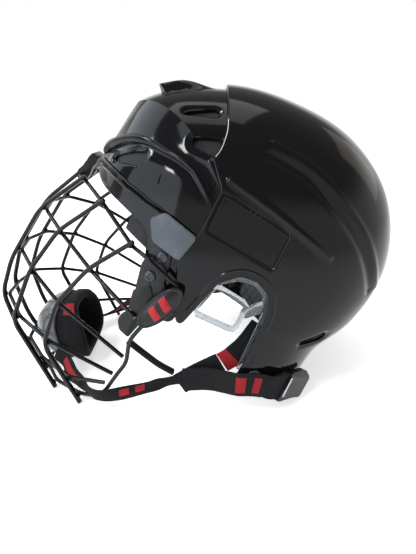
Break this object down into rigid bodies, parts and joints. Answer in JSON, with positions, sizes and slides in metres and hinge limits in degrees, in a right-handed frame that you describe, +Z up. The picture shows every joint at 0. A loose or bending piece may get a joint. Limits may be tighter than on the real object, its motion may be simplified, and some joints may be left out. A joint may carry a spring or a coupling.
{
  "type": "bull riding helmet",
  "caption": "Gloss black two-piece riding helmet with a black wire face cage, padded chin cup, clear ear guards and a webbing chin strap.",
  "frame": {"origin": "middle of the bounding box's footprint, on the surface that the rear shell's lower rim rests on", "axes": "+X towards the back of the helmet, +Y towards the wearer's right, +Z up; the face cage is at -X"},
  "size_m": [0.3339, 0.2276, 0.2456],
  "materials": {
    "shell": "gloss black moulded shell",
    "fittings": "satin black moulding",
    "cage_coat": "gloss black coated steel",
    "screws": "blackened steel",
    "foam": "matt closed-cell foam",
    "cup_pad": "soft brushed cover on foam",
    "cup_shell": "satin grey moulding",
    "clear": "clear moulded plastic",
    "webbing": "woven black webbing",
    "red_webbing": "woven red webbing"
  },
  "bodies": {
    "front": {"front_shell": "shell", "brow_pad": "foam", "front_crown_pad": "foam", "front_side_pads": "foam", "temple_panel_left": "fittings", "temple_panel_right": "fittings", "brow_clip": "fittings", "brow_clip_screw": "screws", "clip_bracket_left": "fittings", "clip_bracket_right": "fittings", "clip_screws_left": "screws", "clip_screws_right": "screws", "clip_cover_left": "fittings", "clip_cover_right": "fittings", "clip_tongue_left": "fittings", "clip_tongue_right": "fittings", "front_strap_left": "webbing", "front_strap_right": "webbing"},
    "rear": {"rear_shell": "shell", "rear_crown_pad": "foam", "back_pad": "foam", "rear_side_pads": "foam", "nape_pad": "foam", "ear_guard_left": "clear", "ear_guard_right": "clear", "ear_guard_rivets": "fittings", "ear_strap_left": "red_webbing", "ear_strap_right": "red_webbing", "strap_tab_left": "fittings", "strap_tab_right": "fittings", "rear_strap_left": "webbing", "rear_strap_right": "webbing", "strap_buckle_left": "fittings", "strap_buckle_right": "fittings", "strap_anchor_left": "screws", "strap_anchor_right": "screws"},
    "cage": {"cage_bar_centre": "cage_coat", "cage_bars_inner": "cage_coat", "cage_bars_middle": "cage_coat", "cage_bars_outer": "cage_coat", "cage_rim": "cage_coat", "cage_wire_eyes": "cage_coat", "cage_wire_nose": "cage_coat", "cage_wire_mouth": "cage_coat", "cage_wire_chin": "cage_coat", "chin_cup_shell": "cup_shell", "chin_cup_pad": "cup_pad", "chin_strap_left": "webbing", "chin_strap_right": "webbing"}
  },
  "joints": [
    {"name": "size_slide", "type": "slide", "parent": "front", "child": "rear", "axis": [0.9976, 0, -0.0698], "range_m": [0, 0.014]},
    {"name": "cage_tilt", "type": "hinge", "parent": "front", "child": "cage", "pos_m": [-0.091, 0, 0.1732], "axis": [0, 1, 0], "range_deg": [0, 95]}
  ]
}
